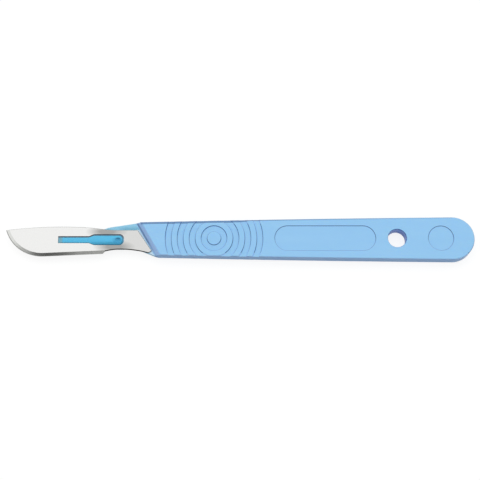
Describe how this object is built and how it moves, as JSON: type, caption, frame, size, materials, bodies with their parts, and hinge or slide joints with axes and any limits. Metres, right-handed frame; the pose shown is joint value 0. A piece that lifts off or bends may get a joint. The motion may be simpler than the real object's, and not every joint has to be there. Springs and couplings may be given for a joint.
{
  "type": "disposable scalpel",
  "caption": "Disposable scalpel: a curved steel blade fixed on a flat pale blue plastic handle with ring grips and a hang hole.",
  "frame": {"origin": "middle of the overall length, on the centreline of the handle, at its back face", "axes": "+X towards the rounded butt, +Y towards the spine of the blade, +Z out of the front face"},
  "size_m": [0.17, 0.0158, 0.005],
  "materials": {
    "pale_blue_plastic": "satin moulded",
    "blade_steel": "ground and polished"
  },
  "bodies": {
    "root": {"handle": "pale_blue_plastic", "blade": "blade_steel"}
  },
  "joints": []
}
